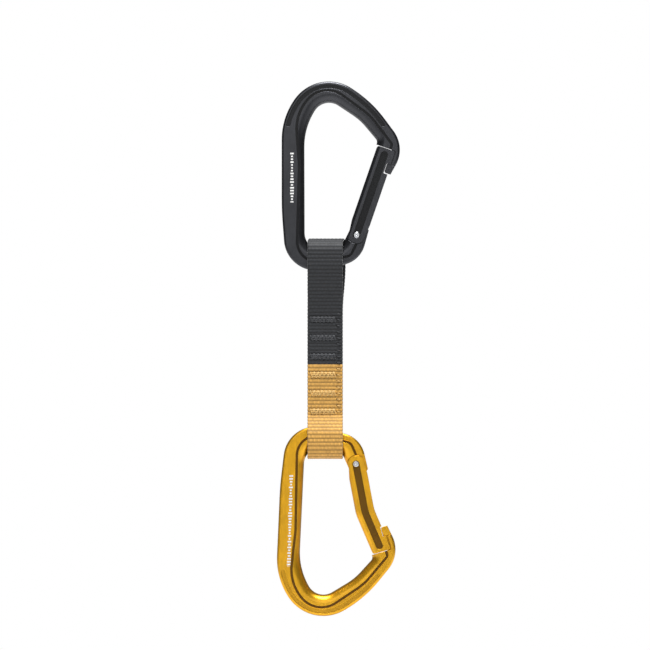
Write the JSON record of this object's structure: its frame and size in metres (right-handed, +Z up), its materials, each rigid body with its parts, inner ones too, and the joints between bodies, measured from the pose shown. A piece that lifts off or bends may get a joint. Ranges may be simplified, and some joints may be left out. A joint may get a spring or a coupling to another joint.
{
  "type": "climbing quickdraw",
  "caption": "Sewn webbing sling joining two snag-free forged carabiners, one with a straight sprung gate and one with a bent sprung gate.",
  "frame": {"origin": "inner apex of the top carabiner's bow, where the draw hangs", "axes": "+Z up along the hanging sling, X across the carabiners' plane towards the gates, Y through their thickness"},
  "size_m": [0.0667, 0.0146, 0.2902],
  "materials": {
    "black_anodised": "black anodised, satin",
    "gold_anodised": "gold anodised, satin",
    "steel": "bright stainless steel",
    "black_webbing": "woven polyester webbing",
    "yellow_webbing": "woven polyester webbing",
    "black_thread": "bonded thread",
    "yellow_thread": "bonded thread",
    "elastomer": "moulded elastomer"
  },
  "bodies": {
    "top_carabiner": {"top_carabiner_body": "black_anodised", "top_gate_rivet": "steel"},
    "top_gate": {"top_gate": "black_anodised", "top_gate_spring": "steel"},
    "top_plunger": {"top_gate_plunger": "steel"},
    "sling": {"sling_upper_loop": "black_webbing", "sling_lower_loop": "yellow_webbing", "sling_front_layer": "black_webbing", "sling_back_layer": "black_webbing", "bar_tack_1": "black_thread", "bar_tack_2": "black_thread", "bar_tack_3": "black_thread", "bar_tack_4": "yellow_thread", "bar_tack_5": "yellow_thread", "bar_tack_6": "yellow_thread"},
    "bottom_carabiner": {"bottom_carabiner_body": "gold_anodised", "bottom_gate_rivet": "steel", "keeper_insert": "elastomer"},
    "bottom_gate": {"bottom_gate": "gold_anodised", "bottom_gate_spring": "steel"},
    "bottom_plunger": {"bottom_gate_plunger": "steel"}
  },
  "joints": [
    {"name": "top_gate_hinge", "type": "hinge", "parent": "top_carabiner", "child": "top_gate", "pos_m": [0.01498, 0, -0.07169], "axis": [0, -1, 0], "range_deg": [0, 35], "stiffness_Nm_per_rad": 0.25, "springref_deg": -57.3},
    {"name": "top_plunger_slide", "type": "slide", "parent": "top_gate", "child": "top_plunger", "axis": [0.3259, 0, 0.9454], "range_m": [0, 0.00191], "deforming": ["top_gate_spring"]},
    {"name": "upper_loop_swing", "type": "hinge", "parent": "top_carabiner", "child": "sling", "pos_m": [0, 0, -0.08449], "axis": [1, 0, 0], "range_deg": [-90, 90], "deforming": ["sling_upper_loop"]},
    {"name": "lower_loop_swing", "type": "hinge", "parent": "sling", "child": "bottom_carabiner", "pos_m": [0, 0, -0.18249], "axis": [1, 0, 0], "range_deg": [-75, 75], "deforming": ["sling_lower_loop"]},
    {"name": "bottom_gate_hinge", "type": "hinge", "parent": "bottom_carabiner", "child": "bottom_gate", "pos_m": [0.01464, 0, -0.19603], "axis": [0, 1, 0], "range_deg": [0, 35], "stiffness_Nm_per_rad": 0.25, "springref_deg": -57.3},
    {"name": "bottom_plunger_slide", "type": "slide", "parent": "bottom_gate", "child": "bottom_plunger", "axis": [0.2843, 0, -0.9587], "range_m": [0, 0.00191], "deforming": ["bottom_gate_spring"]}
  ],
  "couplings": [
    {"joint": "top_plunger_slide", "follows": "top_gate_hinge", "m_per_rad": 0.0031},
    {"joint": "bottom_plunger_slide", "follows": "bottom_gate_hinge", "m_per_rad": 0.0031}
  ]
}
